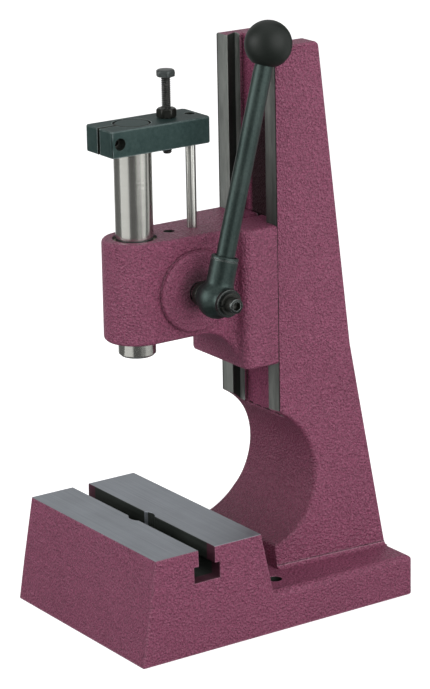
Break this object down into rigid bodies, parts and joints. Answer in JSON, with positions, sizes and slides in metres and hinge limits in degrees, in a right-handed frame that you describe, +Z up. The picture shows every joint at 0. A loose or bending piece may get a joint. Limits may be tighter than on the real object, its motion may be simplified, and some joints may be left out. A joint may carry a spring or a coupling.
{
  "type": "hand lever press",
  "caption": "Bench press with a cast frame, a slotted table and a dovetail column; a lever drives a round ram down through pinion and rack, with an adjustable stroke stop.",
  "frame": {"origin": "middle of the base's underside", "axes": "+Z up along the ram, +X to the lever side, +Y to the rear"},
  "size_m": [0.15, 0.2126, 0.39],
  "materials": {
    "hammer_paint": "hammertone paint",
    "ground_steel": "ground",
    "bronze": "machined",
    "blued_steel": "blued",
    "dark_oxide": "black oxide, matt",
    "black_oxide": "black oxide",
    "knob_plastic": "matt"
  },
  "bodies": {
    "frame": {"frame_base": "hammer_paint", "frame_column": "hammer_paint"},
    "head": {"press_head": "hammer_paint", "upper_ram_bush": "bronze", "lower_ram_bush": "bronze", "right_shaft_bush": "bronze", "left_shaft_bush": "bronze", "spring_housing": "hammer_paint", "return_spring": "ground_steel", "spring_cover": "blued_steel", "cover_screws": "black_oxide", "head_clamp_screws": "black_oxide", "guide_post": "ground_steel", "stop_button": "blued_steel"},
    "lever": {"pinion_shaft": "ground_steel", "shaft_collar": "black_oxide", "hub_key": "blued_steel", "lever_hub": "blued_steel", "hub_washer": "blued_steel", "lock_washer": "black_oxide", "hub_screw": "black_oxide", "lever_rod": "blued_steel", "ball_knob": "knob_plastic"},
    "ram": {"ram": "ground_steel", "tool_grub_screw": "black_oxide", "stop_bar": "dark_oxide", "bar_clamp_screw": "black_oxide", "stop_nut": "black_oxide"},
    "stop": {"stop_screw": "black_oxide"}
  },
  "joints": [
    {"name": "head_height", "type": "slide", "parent": "frame", "child": "head", "axis": [0, 0, 1], "range_m": [-0.03, 0.11]},
    {"name": "lever_turn", "type": "hinge", "parent": "head", "child": "lever", "pos_m": [0, -0.02585, 0.2185], "axis": [1, 0, 0], "range_deg": [0, 143.2], "stiffness_Nm_per_rad": 0.25, "springref_deg": -91.67},
    {"name": "ram_slide", "type": "slide", "parent": "head", "child": "ram", "axis": [0, 0, -1], "range_m": [0, 0.05]},
    {"name": "stop_adjust", "type": "slide", "parent": "ram", "child": "stop", "axis": [0, 0, 1], "range_m": [-0.008, 0.008]}
  ],
  "couplings": [
    {"joint": "ram_slide", "follows": "lever_turn", "m_per_rad": 0.02}
  ]
}
